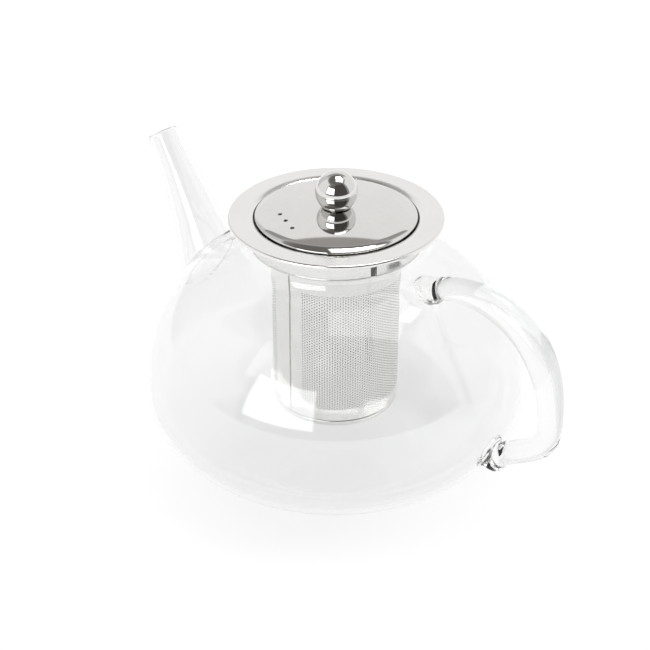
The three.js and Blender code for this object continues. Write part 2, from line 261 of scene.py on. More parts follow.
def bezier(points, count):
    """Points of a Bezier curve of any degree at even parameters, by repeated interpolation."""
    t = np.linspace(0, 1, count)[:, None, None]
    level = np.broadcast_to(np.asarray(points, float), (count, len(points), 2))
    while level.shape[1] > 1:
        level = level[:, :-1] * (1 - t) + level[:, 1:] * t
    return level[:, 0]


# ---- Surfaces ----


def turned(points, segments):
    """An outline turned round +Z: (r cos a, r sin a, z) for each point and each of segments angles.

    The outline is walked upwards on the outside. It closes on itself, unless it starts and ends on
    the axis, where its rings are single points.
    """
    count = len(points)
    on_axis = points[0, 0] < 1e-9
    a = np.arange(segments) * FULL_TURN / segments
    r, z = points[:, 0], points[:, 1]
    grid = np.stack([np.outer(np.cos(a), r), np.outer(np.sin(a), r), np.tile(z, (segments, 1))], -1)
    return grid.reshape(-1, 3), [wrapped_quads(segments, count, closed=not on_axis)]


def wrapped_quads(turns, count, closed):
    """Quads of a grid of turns by count points that closes in its first direction, or in both."""
    i, j = np.meshgrid(np.arange(turns), np.arange(count if closed else count - 1), indexing="ij")
    i_on, j_on = (i + 1) % turns, (j + 1) % count
    quads = np.stack([i * count + j, i_on * count + j, i_on * count + j_on, i * count + j_on], -1)
    return quads.reshape(-1, 4)


def piped(line, radii, sides, closed):
    """Circles of the given radii round the points of a line in the XZ plane, joined by quads.

    With T the line's direction, a circle is C + radius (cos a (T x Y) - sin a Y). A closed line
    comes back on itself, as a tube with a wall does. An open one has its ends drawn into points.
    """
    centres, directions = line
    up = np.stack([-directions[:, 1], np.zeros(len(centres)), directions[:, 0]], -1)
    across = np.array([0.0, 1.0, 0.0])
    a = (np.arange(sides) * FULL_TURN / sides)[:, None, None]
    ring = np.cos(a) * up[None] - np.sin(a) * across
    middle = np.stack([centres[:, 0], np.zeros(len(centres)), centres[:, 1]], -1)
    grid = middle[None] + radii[None, :, None] * ring
    return grid.reshape(-1, 3), [wrapped_quads(sides, len(centres), closed)]


# Faces of a block: first its lower corners, anticlockwise from above, and then its upper ones.
BLOCK_FACES = np.array(
    [[3, 2, 1, 0], [4, 5, 6, 7], [0, 1, 5, 4], [1, 2, 6, 5], [2, 3, 7, 6], [3, 0, 4, 7]]
)


def add_mesh(name, verts, faces):
    """A mesh object from points and groups of faces, with points that coincide merged."""
    mesh = bpy.data.meshes.new(name)
    mesh.from_pydata(verts.tolist(), [], [face for group in faces for face in group.tolist()])
    work = bmesh.new()
    work.from_mesh(mesh)
    bmesh.ops.remove_doubles(work, verts=work.verts, dist=1e-7)
    work.to_mesh(mesh)
    work.free()
    piece = bpy.data.objects.new(name, mesh)
    bpy.context.scene.collection.objects.link(piece)
    return piece


def combine(piece, tool, operation):
    """Joins a closed tool to a piece, or cuts it away, and removes the tool."""
    step = piece.modifiers.new(operation.title(), "BOOLEAN")
    step.operation, step.object, step.solver = operation, tool, "MANIFOLD"
    bake_modifiers(piece)
    bpy.data.objects.remove(tool)
    return piece


def bake_modifiers(piece):
    """Puts what a piece's modifiers make into its own mesh."""
    bpy.context.view_layer.update()
    shown = piece.evaluated_get(bpy.context.evaluated_depsgraph_get())
    mesh = bpy.data.meshes.new_from_object(shown)
    if not mesh.polygons:
        raise RuntimeError(f"{piece.name} came out empty")
    piece.modifiers.clear()
    piece.data = mesh


def finished(piece, material, body, slot, *nodes, sharp=40.0):
    """Shades a piece smooth up to the sharp angle, with its material, body and nodes. Its slot is not
    used.
    """
    piece.data.polygons.foreach_set("use_smooth", np.ones(len(piece.data.polygons), bool))
    piece.data.set_sharp_from_angle(angle=math.radians(sharp))
    piece.data.materials.clear()
    piece.data.materials.append(material)
    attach(piece, body)
    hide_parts(*nodes)
    return piece


# ---- Shaders ----


class Socket:
    """An output socket that takes part in Python arithmetic by adding Math nodes."""

    def __init__(self, tree, link):
        self.tree, self.link = tree, link

    def __getitem__(self, name):
        return Socket(self.tree, self.link.node.outputs[name])

    def math(self, operation, *others):
        return self.tree.node(
            "ShaderNodeMath", {"operation": operation}, dict(enumerate((self, *others)))
        )

    def __add__(self, other):
        return self.math("ADD", other)

    def __mul__(self, other):
        return self.math("MULTIPLY", other)

    def __sub__(self, other):
        return self.math("SUBTRACT", other)

    def __rsub__(self, other):
        return self * -1.0 + other

    def __truediv__(self, other):
        return self.math("DIVIDE", other)

    __radd__, __rmul__ = __add__, __mul__

    def step(self, low, high):
        """0 up to low and 1 from high on, with a smooth rise between."""
        return self.tree.node(
            "ShaderNodeMapRange",
            {"interpolation_type": "SMOOTHSTEP"},
            {"Value": self, "From Min": low, "From Max": high},
        )

    def within(self, low, high, soft):
        """1 between low and high and 0 outside, with edges that are soft wide."""
        return self.step(low - soft, low + soft) * (1.0 - self.step(high - soft, high + soft))


class Tree:
    """A node tree that is built from Python expressions."""

    def __init__(self, owner):
        owner.use_nodes = True
        self.tree = owner.node_tree
        self.tree.nodes.clear()

    def node(self, kind, settings=None, inputs=None):
        """Adds one node: its settings first, then the values or links of its sockets."""
        node = self.tree.nodes.new(kind)
        for name, value in (settings or {}).items():
            setattr(node, name, value)
        for key, value in (inputs or {}).items():
            if isinstance(value, Socket):
                self.tree.links.new(value.link, node.inputs[key])
            else:
                node.inputs[key].default_value = value
        shown = [s for s in node.outputs if s.enabled]
        return Socket(self, shown[0]) if shown else None

    def place(self):
        """Object coordinates in metres, as one vector."""
        return self.node("ShaderNodeTexCoord")["Object"]

    def parts(self, vector):
        """The x, y and z of a vector as numbers."""
        split = self.node("ShaderNodeSeparateXYZ", inputs={0: vector})
        return split["X"], split["Y"], split["Z"]

    def vector(self, x, y, z):
        return self.node("ShaderNodeCombineXYZ", inputs={0: x, 1: y, 2: z})

    def noise(self, vector, scale, detail=2.0, roughness=0.5):
        return self.node(
            "ShaderNodeTexNoise",
            inputs={"Vector": vector, "Scale": scale, "Detail": detail, "Roughness": roughness},
        )

    def blend(self, share, first, second):
        """A colour between two colours."""
        return self.node("ShaderNodeMix", {"data_type": "RGBA"}, {0: share, 6: first, 7: second})

    def bump(self, height, distance):
        """A normal for a height between 0 and 1 that stands for distance."""
        inputs = {"Height": height, "Distance": distance, "Strength": 1.0}
        return self.node("ShaderNodeBump", inputs=inputs)

    def principled(self, inputs):
        return self.node("ShaderNodeBsdfPrincipled", inputs=inputs)

    def output(self, surface):
        self.node("ShaderNodeOutputMaterial", inputs={"Surface": surface})


def rgba(values, gain=1.0):
    """A colour with its alpha, brightened by gain."""
    return tuple(v * gain for v in values) + (1.0,)


def new_material(name):
    material = bpy.data.materials.get(name) or bpy.data.materials.new(name)
    return material, Tree(material)


def clear_glass(settings):
    """Clear blown glass, faintly wavy, that lets the rays from lamps through."""
    material, tree = new_material("clear_glass")
    place = tree.place()
    waves = tree.noise(place, 38.0, 1.0) * 0.8 + tree.noise(place, 140.0, 1.0) * 0.2
    glass = tree.principled(
        {
            "Base Color": rgba(settings.tint),
            "Roughness": 0.0,
            "IOR": settings.ior,
            "Transmission Weight": 1.0,
            "Normal": tree.bump(waves, 0.015 * MM),
        }
    )
    clear = tree.node("ShaderNodeBsdfTransparent", inputs={"Color": (0.965, 0.972, 0.97, 1.0)})
    shadow = tree.node("ShaderNodeLightPath")["Is Shadow Ray"]
    tree.output(tree.node("ShaderNodeMixShader", inputs={0: shadow, 1: glass, 2: clear}))
    return material


def steel(name, tone, roughness, smudge, lines, depth):
    """Stainless steel: a tone and roughness that drift a little, under fine lines this deep."""
    material, tree = new_material(name)
    place = tree.place()
    cloud = tree.noise(place, 60.0, 3.0, 0.6)
    fine = tree.noise(place, 900.0, 2.0)
    marks = lines(tree, place)
    drift = tree.blend(cloud.step(0.3, 0.7), rgba(tone, 0.965), rgba(tone))
    inputs = {
        "Base Color": tree.blend(marks.step(0.2, 0.8) * 0.35, drift, rgba(tone, 0.9)),
        "Metallic": 1.0,
        "Roughness": (cloud * 0.6 + fine * 0.4) * smudge + (roughness - smudge / 2),
        "Normal": tree.bump(marks, depth),
    }
    tree.output(tree.principled(inputs))
    return material


def spun_lines(tree, place):
    """Fine rings round the axis, broken here and there, as a spinning tool leaves them."""
    x, y, z = tree.parts(place)
    radius = tree.node("ShaderNodeVectorMath", {"operation": "LENGTH"}, {0: tree.vector(x, y, 0.0)})
    rings = tree.vector(radius["Value"] * 60.0 + z * 60.0, x, y)
    return tree.noise(rings, 90.0, 3.0, 0.7)


def drawn_lines(tree, place):
    """Fine upright lines, as rolled sheet shows them."""
    x, y, z = tree.parts(place)
    return tree.noise(tree.vector(x * 40.0, y * 40.0, z * 1.2), 110.0, 3.0, 0.7)


def buffed_lines(tree, place):
    """Faint haze, as a polishing mop leaves it."""
    return tree.noise(place, 420.0, 4.0, 0.65)


# ---- Glass ----


def vessel_wall(s, inset, bottom, neck):
    """One surface of the blown wall, from its base edge up to the neck's foot, set in by inset.

    Under the belt r = R cos a and z = belt - B sin a. Over it r = R cos(t)^(2/n) and
    z = belt + A sin(t)^(2/n), up to the shoulder, and a quadratic curve turns that into the neck.
    """
    radius = BODY_HIGH.x - inset
    low = math.asin((s.belt - bottom) / (s.below - inset))
    a = np.linspace(low, 0, 60)[:-1]
    under = np.stack([radius * np.cos(a), s.belt - (s.below - inset) * np.sin(a)], -1)
    power = 2 / s.squareness
    t = np.linspace(0, math.acos((s.shoulder / radius) ** (1 / power)), 160)
    rise = (s.above - inset) * np.sin(t) ** power
    over = np.stack([radius * np.cos(t) ** power, s.belt + rise], -1)
    slope = (over[-1, 1] - over[-2, 1]) / (over[-2, 0] - over[-1, 0])
    corner = [neck, over[-1, 1] + slope * (s.shoulder - neck)]
    turn = bezier([over[-1], corner, [neck, s.turn]], 16)[1:]
    return np.concatenate([under, over, turn])


def vessel_shell(s):
    """The vessel: a dished base, the outer wall, a rounded rim and the inner wall."""
    outer = vessel_wall(s, 0, 0, s.neck_outer)
    inner = vessel_wall(s, s.wall, s.base, s.neck_inner)
    half = (s.neck_outer - s.neck_inner) / 2
    foot, floor = np.linspace(0, outer[0, 0], 40)[:-1], np.linspace(0, inner[0, 0], 30)[:-1]
    dish = np.stack([foot, s.dish * (1 + np.cos(math.pi * foot / outer[0, 0])) / 2], -1)
    inside = np.stack([floor, np.full(len(floor), s.base) + s.dish / 2], -1)
    inside[:, 1] -= s.dish / 2 * (floor / inner[0, 0]) ** 2
    top = BODY_HIGH.z - half
    outside = np.concatenate([dish, outer, [[s.neck_outer, top]]])
    lining = np.concatenate([inside, inner, [[s.neck_inner, top]]])
    spacing = 1.75 * MM
    outside, lining = (softened(even(p, spacing / 2), 6)[::2] for p in (outside, lining))
    outside[-1], lining[-1] = [s.neck_outer, top], [s.neck_inner, top]
    rim = arc(s.neck_inner + half, top, half, 0, math.pi, 10)[1:-1]
    outside[0, 0] = lining[0, 0] = 0.0
    return np.concatenate([outside, rim, lining[::-1]])


def vessel_inside(s, proud):
    """The space inside the vessel as a solid, smaller than the inner wall by proud."""
    wall = vessel_wall(s, s.wall + proud, s.base + proud, s.neck_inner - proud)
    top = BODY_HIGH.z + 10 * MM
    ends = [[s.neck_inner - proud, top], [0.0, top]]
    return turned(np.concatenate([[[0.0, s.base + proud]], wall[::2], ends]), 96)


SPOUT_FOOT = outline([-66.5, 60.0], [-69.9, 68.5])
SPOUT_CURVE = outline([-69.9, 68.5], [-82.0, 98.7], [-98.1, 127.4])
HANDLE_OVER = outline([45.0, 95.9], [65.2, 110.1], [107.8, 106.2], [107.8, 55.5])
HANDLE_UNDER = outline([107.8, 55.5], [107.8, 42.5], [101.0, 43.0], [81.0, 29.4])


def directed(points):
    """Centres of a line with their unit directions."""
    return points, unit(np.gradient(points, axis=0))


def spout_route(s, below=0.0):
    """Centres and outer radii of the spout, from its foot or from below it, up to its tip.

    Past the root the radius is root (1 - t)^2 + 2 middle t (1 - t) + tip t^2.
    """
    start = SPOUT_FOOT[:1] - unit(SPOUT_FOOT[1:] - SPOUT_FOOT[:1]) * below
    path = even(np.concatenate([start, bezier(SPOUT_CURVE, 80)]), 1.0 * MM)
    straight = np.linalg.norm(SPOUT_FOOT[1] - start[0])
    along = np.linspace(0, 1, len(path)) * (len(path) - 1) * MM
    t = np.clip((along - straight) / (along[-1] - straight), 0, 1)
    outer = s.spout_root * (1 - t) ** 2 + 2 * s.spout_middle * t * (1 - t) + s.spout_tip * t**2
    return path, outer


def spout_shell(s):
    """The spout's tube with its wall: outside to the tip, round the rim, and back inside."""
    path, outer = spout_route(s)
    centres, ways = directed(path)
    half, a = s.spout_wall / 2, np.linspace(0, math.pi, 9)
    rim = centres[-1] + ways[-1] * (half * (np.sin(a)[:, None] - 1))
    rim_radii = outer[-1] - half + half * np.cos(a)
    line = np.concatenate([centres[:-1], rim, centres[-2::-1]])
    ways = np.concatenate([ways[:-1], np.tile(ways[-1], (len(a), 1)), ways[-2::-1]])
    radii = np.concatenate([outer[:-1], rim_radii, outer[-2::-1] - s.spout_wall])
    return piped((line, ways), radii, 80, closed=True)


def rod(points, radii, sides):
    """A solid rod along a line, its ends drawn to a point."""
    centres, ways = directed(points)
    pick = np.concatenate([[0], np.arange(len(centres)), [-1]])
    ends = np.concatenate([[0.0], radii, [0.0]])
    return piped((centres[pick], ways[pick]), ends, sides, closed=False)


def spout_opening(s):
    """The cutter that opens the body under the spout, inside the thickness of the spout's wall."""
    path, outer = spout_route(s, below=8 * MM)
    share = len(path) // 2
    return rod(path[:share], outer[:share] - s.spout_wall * 0.98, 80)


def handle_rod(s):
    """The handle: two cubic curves, and a rod that swells to the bend and flares at its joints."""
    route = np.concatenate([bezier(HANDLE_OVER, 120)[:-1], bezier(HANDLE_UNDER, 80)])
    path = softened(even(route, 1.0 * MM), 4)
    share = np.linspace(0, 1, len(path))

    def smooth(low, high):
        t = np.clip((share - low) / (high - low), 0, 1)
        return t * t * (3 - 2 * t)

    radii = s.handle_top + (s.handle_bend - s.handle_top) * smooth(0.0, 0.38)
    radii = radii - (s.handle_bend - s.handle_low) * smooth(0.42, 0.75)
    along = share * (len(path) - 1) * MM
    reach = 6 * MM
    near_end = np.exp(-((along / reach) ** 2)) + np.exp(-(((along[-1] - along) / reach) ** 2))
    return rod(path, radii + s.flare * near_end, 56)


def edge_turns(mesh):
    """The two points of each edge, and the cosine between the faces on its two sides."""
    edges, loops = np.empty((len(mesh.edges), 2), int), np.empty(len(mesh.loops), int)
    sizes, normals = np.empty(len(mesh.polygons), int), np.empty((len(mesh.polygons), 3))
    mesh.edges.foreach_get("vertices", edges.ravel())
    mesh.loops.foreach_get("edge_index", loops)
    mesh.polygons.foreach_get("loop_total", sizes)
    mesh.polygons.foreach_get("normal", normals.ravel())
    faces = np.repeat(np.arange(len(sizes)), sizes)[np.argsort(loops, kind="stable")]
    first = np.searchsorted(np.sort(loops), np.arange(len(edges)))
    return edges, (normals[faces[first]] * normals[faces[first + 1]]).sum(1)


TRIM = 0.9 * MM  # the spout is cut this far outside the inner wall, and the rod as far inside it
MELT_ANGLE = math.radians(28)  # an edge that turns more than this is a joint
MELT_ROUNDS = 10
MELT_BATCH = 2000  # points whose distances are worked out at once


def melt_joints(piece, reach, below):
    """Rounds off the sharp edges under a height, where parts were fused, as a flame does.

    Each round moves a point halfway to the mean of its neighbours. The share of that move falls
    smoothly from 1 at a sharp edge to 0 at reach from it.
    """
    mesh = piece.data
    edges, cosine = edge_turns(mesh)
    points = np.empty((len(mesh.vertices), 3))
    mesh.vertices.foreach_get("co", points.ravel())
    seeds = points[np.unique(edges[cosine < math.cos(MELT_ANGLE)])]
    seeds = seeds[seeds[:, 2] < below]
    parts = np.array_split(points, len(points) // MELT_BATCH + 1)
    squares = [((part[:, None] - seeds[None]) ** 2).sum(-1).min(1) for part in parts]
    near = np.clip(1 - np.sqrt(np.concatenate(squares)) / reach, 0, 1)
    share = (near * near * (3 - 2 * near))[:, None] / 2
    a, b = np.concatenate([edges, edges[:, ::-1]]).T
    count = np.bincount(a, minlength=len(points))[:, None]
    for _ in range(MELT_ROUNDS):
        total = np.stack([np.bincount(a, points[b, k], len(points)) for k in range(3)], -1)
        points += share * (total / count - points)
    mesh.vertices.foreach_set("co", points.ravel())
    mesh.update()


class TEAPOT_OT_glass(Operator):
    """Build the vessel, spout and handle as one fused piece of clear glass"""

    bl_idname = "teapot.glass"
    bl_label = "Fused glass"

    def execute(self, context):
        s = context.scene.teapot_glass
        vessel = add_mesh("fused_glass", *turned(vessel_shell(s), 192))
        combine(vessel, add_mesh("opening", *spout_opening(s)), "DIFFERENCE")
        parts = (("spout", spout_shell(s), -TRIM), ("rod", handle_rod(s), TRIM))
        for name, made, proud in parts:
            part = add_mesh(name, *made)
            combine(part, add_mesh("inside", *vessel_inside(s, proud)), "DIFFERENCE")
            combine(vessel, part, "UNION")
        melt_joints(vessel, s.melt, s.turn)
        nodes = ("glass_body", "glass_spout", "glass_handle")
        finished(vessel, clear_glass(s), "pot", "clear_glass", *nodes, sharp=80.0)
        return {"FINISHED"}


# ---- Infuser ----

NOTCH_TURNS = np.radians([330.3, 330.3, 334.6, 334.6])
NOTCH_HEIGHTS = (104.2 * MM, 110.0 * MM)


def notch_cutter(inner, outer):
    """A block between two radii that cuts the upright notch in the collar's and the lid's wall."""
    radii = np.array([inner, outer, outer, inner])
    ring = np.stack([radii * np.cos(NOTCH_TURNS), radii * np.sin(NOTCH_TURNS)], -1)
    points = np.concatenate([np.c_[ring, np.full(4, height)] for height in NOTCH_HEIGHTS])
    return add_mesh("notch", points, [BLOCK_FACES])


class TEAPOT_OT_collar(Operator):
    """Build the pressed collar: flange, roll, recess, step and the lip inside the basket"""

    bl_idname = "teapot.collar"
    bl_label = "Collar"

    def execute(self, context):
        s = context.scene.teapot_infuser
        rim, level, foot = COLLAR_HIGH.x, COLLAR_HIGH.z, COLLAR_LOW.z
        spigot, recess, outer = BASKET_HIGH.x - 0.9 * MM, s.recess, s.recess + s.sheet
        edge, lip = rim - s.sheet, level - 1.5 * MM
        upright, inner_roll = math.pi / 2, s.roll - s.sheet
        end = math.asin((s.flat - recess) / s.roll)
        inner_end = math.asin((s.flat - outer) / inner_roll)
        over = arc(s.flat, level - s.roll, s.roll, upright, upright + end, 12)
        under = arc(s.flat, level - s.roll, inner_roll, upright + inner_end, upright, 8)
        foot_corners = [(spigot - s.sheet, foot), (spigot, foot), (spigot, s.step), (outer, s.step)]
        groove = outline([0, 1.0], [-0.35, 1.0], [-0.35, 1.35], [0, 1.35]) + [outer, s.step]
        rim_corners = [(edge, level - s.sheet), (edge, lip), (rim, lip), (rim, level)]
        step_corners = [(recess, s.step + s.sheet), (spigot - s.sheet, s.step + s.sheet)]
        corners = np.concatenate([foot_corners, groove, under, rim_corners, over, step_corners])
        bends = [(0.25, 0.25, 0.2, 0.7), [0.04] * 4, [0] * len(under), (0.2, 0.28, 0.28, 0.8)]
        bends += [[0] * (len(over) - 1), (0.2, 0.6, 0.9)]
        made = turned(divided(rounded(corners, np.concatenate(bends) * MM, 8), 0.8 * MM), 224)
        satin = steel("satin_steel", s.steel, 0.2, 0.05, spun_lines, 0.002 * MM)
        collar = add_mesh("spun_collar", *made)
        combine(collar, notch_cutter(recess - s.sheet, outer + s.sheet), "DIFFERENCE")
        finished(collar, satin, "infuser", "satin_steel", "infuser_collar")
        return {"FINISHED"}


def quads_of(numbers):
    """Quads between the points whose numbers stand in a grid."""
    ring = [numbers[:-1, :-1], numbers[1:, :-1], numbers[1:, 1:], numbers[:-1, 1:]]
    return np.stack(ring, -1).reshape(-1, 4)


def web_faces(holes):
    """Faces between holes whose corner numbers are holes[column, row, corner].

    Holes stand one pitch apart in a column, and the next column half a pitch higher. A quad joins
    the facing sides of two neighbours: above, up to the right and down to the right. A triangle
    fills the space between each three of them.
    """
    rows = holes.shape[1]
    faces = [np.stack([holes[:, :-1, 2], holes[:, :-1, 1], holes[:, 1:, 5], holes[:, 1:, 4]], -1)]
    for high in (0, 1):
        near, far = holes[high:-1:2], holes[high + 1 :: 2]
        low, top = near[:, : rows - high], far[:, high:]
        faces.append(np.stack([low[..., 1], low[..., 0], top[..., 4], top[..., 3]], -1))
        low, top = near[:, 1 - high :], far[:, : rows - 1 + high]
        faces.append(np.stack([low[..., 0], low[..., 5], top[..., 3], top[..., 2]], -1))
        side = near[:, 1 - high : rows - high]
        faces.append(np.stack([side[..., 0], far[:, :-1, 2], far[:, 1:, 4]], -1))
        side = far[:, high : rows - 1 + high]
        faces.append(np.stack([near[:, :-1, 1], side[..., 3], near[:, 1:, 5]], -1))
    return [f.reshape(-1, f.shape[-1]) for f in faces]


def perforated_sheet(s, radius, low, high):
    """The basket's sheet laid flat: points (distance round, height) and groups of faces.

    The outermost holes of the lattice are closed up to single points and set on a straight frame.
    Plain bands run from that frame to the lower and upper edge, and a plain strip closes the round.
    """
    round_length, open_length = FULL_TURN * radius, (FULL_TURN - s.strip) * radius
    columns, rows = s.columns + 2, s.rows + 2
    across = open_length / (columns - 1)
    i, j = np.meshgrid(np.arange(columns), np.arange(rows), indexing="ij")
    bottom, top = s.holes_low - s.pitch / 2, s.holes_low + (s.rows + 1) * s.pitch
    x, z = i * across, s.holes_low + (j - 0.5 + (i % 2) / 2) * s.pitch
    z = np.where(j == 0, bottom, np.where(j == rows - 1, top, z))
    closed = (i == 0) | (i == columns - 1) | (j == 0) | (j == rows - 1)
    size = np.where(closed, 0, s.hole)[..., None]
    corner = np.arange(6) * math.pi / 3
    offsets = np.stack([size * np.cos(corner), size * np.sin(corner)], -1)
    holes = np.stack([x, z], -1)[:, :, None] + offsets

    below, above = np.linspace(low, bottom, 4)[:-1], np.linspace(top, high, 6)[1:]
    bands = np.stack(np.meshgrid(x[:, 0], np.concatenate([below, above]), indexing="ij"), -1)
    edge = open_length + (s.seam_share * s.strip) * radius
    plain = np.concatenate(
        [
            np.linspace(open_length, edge - 0.5 * MM, 8)[1:],
            edge + np.array([-0.25, -0.1, -0.03, 0.03, 0.12, 0.22, 0.32, 0.42]) * MM,
            np.linspace(edge + 0.6 * MM, round_length, 12)[:-1],
        ]
    )

    hole_numbers = np.arange(i.size * 6).reshape(columns, rows, 6)
    band_numbers = i.size * 6 + np.arange(bands[..., 0].size).reshape(columns, -1)
    lower = np.concatenate([band_numbers[:, :3], hole_numbers[:, :1, 0]], 1)
    upper = np.concatenate([hole_numbers[:, -1:, 0], band_numbers[:, 3:]], 1)
    sides = np.concatenate([lower[:, :3], hole_numbers[:, :, 0], upper[:, 1:]], 1)
    points = np.concatenate([holes.reshape(-1, 2), bands.reshape(-1, 2)])
    left, right = points[sides[0]], points[sides[-1]]
    share = (plain - open_length)[:, None] / (round_length - open_length)
    heights = right[:, 1] * (1 - share) + left[:, 1] * share
    strip = np.stack([np.repeat(plain[:, None], len(left), 1), heights], -1)
    strip_numbers = len(points) + np.arange(heights.size).reshape(heights.shape)
    strip_grid = np.concatenate([sides[-1:], strip_numbers, sides[:1]])
    points = np.concatenate([points, strip.reshape(-1, 2)])
    faces = web_faces(hole_numbers) + [quads_of(n) for n in (lower, upper, strip_grid)]
    return points, faces, edge


def rolled(s, points, edge, radius, low, high):
    """The sheet rolled round +Z: past its edge the lower layer starts sunk and rises again.

    The sink is lap x (1 - distance / reach)^2 past the edge, and less towards the base.
    A narrow gap beside the edge adds gap x exp(-(distance / width)^4), except near both ends.
    """
    past = points[:, 0] - edge
    reach = FULL_TURN * radius - edge
    share = np.clip(1 - past / reach, 0, 1) ** 2
    height = (points[:, 1] - low) / (high - low)
    sink = np.where(past > 0, s.lap * share * (0.55 + 0.45 * height), 0)
    a = s.strip_end + points[:, 0] / radius
    ends = np.clip(np.minimum(height, 1 - height) * 12, 0, 1) * (0.3 + 0.7 * height)
    gap = np.where(past > 0, s.gap * ends * np.exp(-((past / (0.3 * MM)) ** 4)), 0)
    r = radius - sink - gap
    return np.stack([r * np.cos(a), r * np.sin(a), points[:, 1]], -1)


class TEAPOT_OT_basket(Operator):
    """Build the rolled sheet with its holes, its plain strip and its lapped seam"""

    bl_idname = "teapot.basket"
    bl_label = "Perforated basket"

    def execute(self, context):
        s = context.scene.teapot_infuser
        radius, low, high = BASKET_HIGH.x, BASKET_LOW.z, BASKET_HIGH.z
        points, faces, edge = perforated_sheet(s, radius, low, high)
        basket = add_mesh("perforated_wall", rolled(s, points, edge, radius, low, high), faces)
        wall = basket.modifiers.new("Sheet", "SOLIDIFY")
        wall.thickness, wall.offset = s.sheet, -1.0
        bake_modifiers(basket)
        brushed = steel("perforated_steel", s.steel, 0.17, 0.06, drawn_lines, 0.003 * MM)
        finished(basket, brushed, "infuser", "perforated_steel", "infuser_basket")
        return {"FINISHED"}


class TEAPOT_OT_cup(Operator):
    """Build the pressed cup that closes the basket, with the lip inside the wall"""

    bl_idname = "teapot.cup"
    bl_label = "Base cup"

    def execute(self, context):
        s = context.scene.teapot_infuser
        radius, bottom, joint, top = CUP_HIGH.x, CUP_LOW.z, BASKET_LOW.z - GAP, CUP_HIGH.z
        lip = radius - s.sheet - GAP
        inner, floor = lip - s.sheet, bottom + s.sheet
        corners = [(0.0, bottom + 0.5 * MM), (radius * 0.55, bottom + 0.4 * MM)]
        corners += [(radius * 0.72, bottom), (radius, bottom), (radius, joint)]
        corners += [(lip, joint), (lip, top), (inner, top), (inner, bottom + 1.0 * MM)]
        corners += [(radius * 0.70, floor), (radius * 0.54, floor + 0.4 * MM)]
        corners += [(0.0, floor + 0.5 * MM)]
        bend = np.array([0, 6, 4, 3.2, 0.3, 0.2, 0.2, 0.2, 2.2, 3, 6, 0]) * MM
        made = turned(divided(rounded(corners, bend, 8), 0.8 * MM, closed=False), 192)
        satin = bpy.data.materials["satin_steel"]
        finished(add_mesh("base_cup", *made), satin, "infuser", "satin_steel", "infuser_base")
        return {"FINISHED"}


# ---- Lid ----


VENTS = outline([-15.4, -17.9], [-9.9, -20.9], [-3.9, -24.1])
SCREW_HOLE = 2.4 * MM  # radius of the hole for the screw


def crown_height(s, r):
    """Height of the crown: a spherical cap of radius bend, and past the brow a tighter arc from it.

    The arc starts with the cap's slope: its centre is between the brow and the cap's centre.
    """
    low = CROWN_TOP - s.bend
    lean = s.brow / s.bend
    arc_r = s.brow * (1 - s.brow_bend / s.bend)
    arc_z = low + (s.bend - s.brow_bend) * math.sqrt(1 - lean**2)
    cap = low + np.sqrt(s.bend**2 - r**2)
    past = np.sqrt(s.brow_bend**2 - np.maximum(r - arc_r, 0) ** 2) + arc_z
    return np.where(r > s.brow, past, cap)


class TEAPOT_OT_crown(Operator):
    """Build the polished crown with its fold, its turned-down wall and its vents"""

    bl_idname = "teapot.crown"
    bl_label = "Lid crown"

    def execute(self, context):
        s = context.scene.teapot_lid
        radius, foot = CROWN_HIGH.x, CROWN_LOW.z
        edge, inner = crown_height(s, radius), radius - s.sheet
        r = np.linspace(radius - 0.6 * MM, SCREW_HOLE, 90)
        over = np.stack([r, crown_height(s, r)], -1)
        under = over[r < inner - s.fold][::-1] - [0, s.sheet]
        shoulder = (inner, crown_height(s, inner) - s.sheet - s.fold / 3)
        wall = [(inner, foot), (radius, foot), (radius, edge)]
        corners = np.concatenate([wall, over, under, [shoulder]])
        bend = np.zeros(len(corners))
        bend[:3], bend[-1] = (0.3 * MM, 0.3 * MM, s.fold), 0.1 * MM
        made = turned(divided(rounded(corners, bend, 10), 0.7 * MM), 224)
        crown = add_mesh("polished_crown", *made)
        combine(crown, notch_cutter(radius - 2 * s.sheet, radius + s.sheet), "DIFFERENCE")
        low, high = edge - 6 * MM, edge + 6 * MM
        drill = np.array([(0, low), (s.vent, low), (s.vent, high), (0, high)])
        for x, y in VENTS:
            points, faces = turned(drill, 32)
            combine(crown, add_mesh("vent", points + [x, y, 0], faces), "DIFFERENCE")
        bright = steel("polished_steel", s.steel, 0.045, 0.03, buffed_lines, 0.0004 * MM)
        finished(crown, bright, "lid", "polished_steel", "lid_cap")
        return {"FINISHED"}


